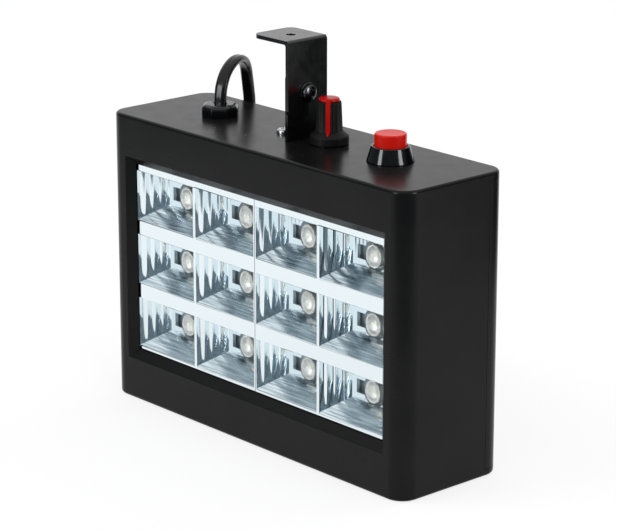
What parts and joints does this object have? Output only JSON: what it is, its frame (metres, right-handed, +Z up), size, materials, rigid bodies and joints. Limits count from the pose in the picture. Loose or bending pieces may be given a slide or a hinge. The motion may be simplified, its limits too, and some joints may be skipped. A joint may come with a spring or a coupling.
{
  "type": "strobe light",
  "caption": "Small black room strobe light with a window of chromed reflector cells, a hanging bracket, a speed knob, a red push button and a flat mains cord.",
  "frame": {"origin": "centre of the underside of the housing, on the surface that it stands on", "axes": "+X to the right along the housing's width as seen from the front, +Y to the back, so the light shines along -Y, +Z up"},
  "size_m": [0.146, 0.111, 0.1245],
  "materials": {
    "housing_plastic": "satin black ABS, finely textured",
    "chromed_plastic": "vacuum-metallised plastic, bright",
    "led_lens": "clear lens with a pale inner cup",
    "board_black": "dark solder mask",
    "board_green": "green solder mask",
    "part_yellow": "film capacitor case",
    "part_blue": "capacitor sleeve",
    "part_black": "moulded package",
    "part_aluminium": "turned",
    "bracket_steel": "semi-gloss black paint",
    "screw_steel": "bright plated steel",
    "spring_steel": "drawn wire",
    "knob_plastic": "matt black plastic",
    "red_plastic": "glossy red",
    "gloss_black": "glossy black",
    "cord_rubber": "smooth black PVC",
    "tie_plastic": "black nylon",
    "brass": "stamped"
  },
  "bodies": {
    "housing": {"bracket_foot_nut": "screw_steel", "bracket_foot_screw": "screw_steel", "button_body": "gloss_black", "button_nut": "screw_steel", "button_spring": "spring_steel", "button_tab_left": "brass", "button_tab_right": "brass", "controller_chip": "part_black", "cord_coil": "cord_rubber", "cord_tie": "tie_plastic", "cover_screw_1": "screw_steel", "cover_screw_2": "screw_steel", "cover_screw_3": "screw_steel", "cover_screw_4": "screw_steel", "driver_board": "board_green", "driver_board_screw_1": "screw_steel", "driver_board_screw_2": "screw_steel", "electrolytic_capacitor": "part_blue", "film_capacitor": "part_yellow", "front_housing": "housing_plastic", "led_01": "led_lens", "led_02": "led_lens", "led_03": "led_lens", "led_04": "led_lens", "led_05": "led_lens", "led_06": "led_lens", "led_07": "led_lens", "led_08": "led_lens", "led_09": "led_lens", "led_10": "led_lens", "led_11": "led_lens", "led_12": "led_lens", "led_board": "board_black", "led_board_screw_1": "screw_steel", "led_board_screw_2": "screw_steel", "led_board_screw_3": "screw_steel", "led_board_screw_4": "screw_steel", "mains_cord": "cord_rubber", "mounting_ear": "bracket_steel", "pivot_nut": "screw_steel", "pivot_screw": "screw_steel", "pivot_washer": "screw_steel", "plug_blade_left": "brass", "plug_blade_right": "brass", "plug_body": "cord_rubber", "potentiometer": "part_black", "potentiometer_nut": "screw_steel", "potentiometer_washer": "screw_steel", "rear_cover": "housing_plastic", "rectifier": "part_black", "reflector_left": "chromed_plastic", "reflector_right": "chromed_plastic", "strain_relief": "gloss_black"},
    "knob": {"speed_knob": "knob_plastic", "knob_cap": "red_plastic", "potentiometer_shaft": "part_aluminium"},
    "button": {"button_cap": "red_plastic"},
    "arm": {"mounting_arm": "bracket_steel"}
  },
  "joints": [
    {"name": "knob_turn", "type": "hinge", "parent": "housing", "child": "knob", "pos_m": [0.0105, 0.0026, 0.0935], "axis": [0, 0, 1], "range_deg": [-150, 150]},
    {"name": "button_press", "type": "slide", "parent": "housing", "child": "button", "axis": [0, 0, -1], "range_m": [0, 0.0025], "stiffness_N_per_m": 600, "springref_m": -0.002, "deforming": ["button_spring"]},
    {"name": "arm_tilt", "type": "hinge", "parent": "housing", "child": "arm", "pos_m": [0, 0.001, 0.108], "axis": [1, 0, 0], "range_deg": [-110, 110]}
  ]
}
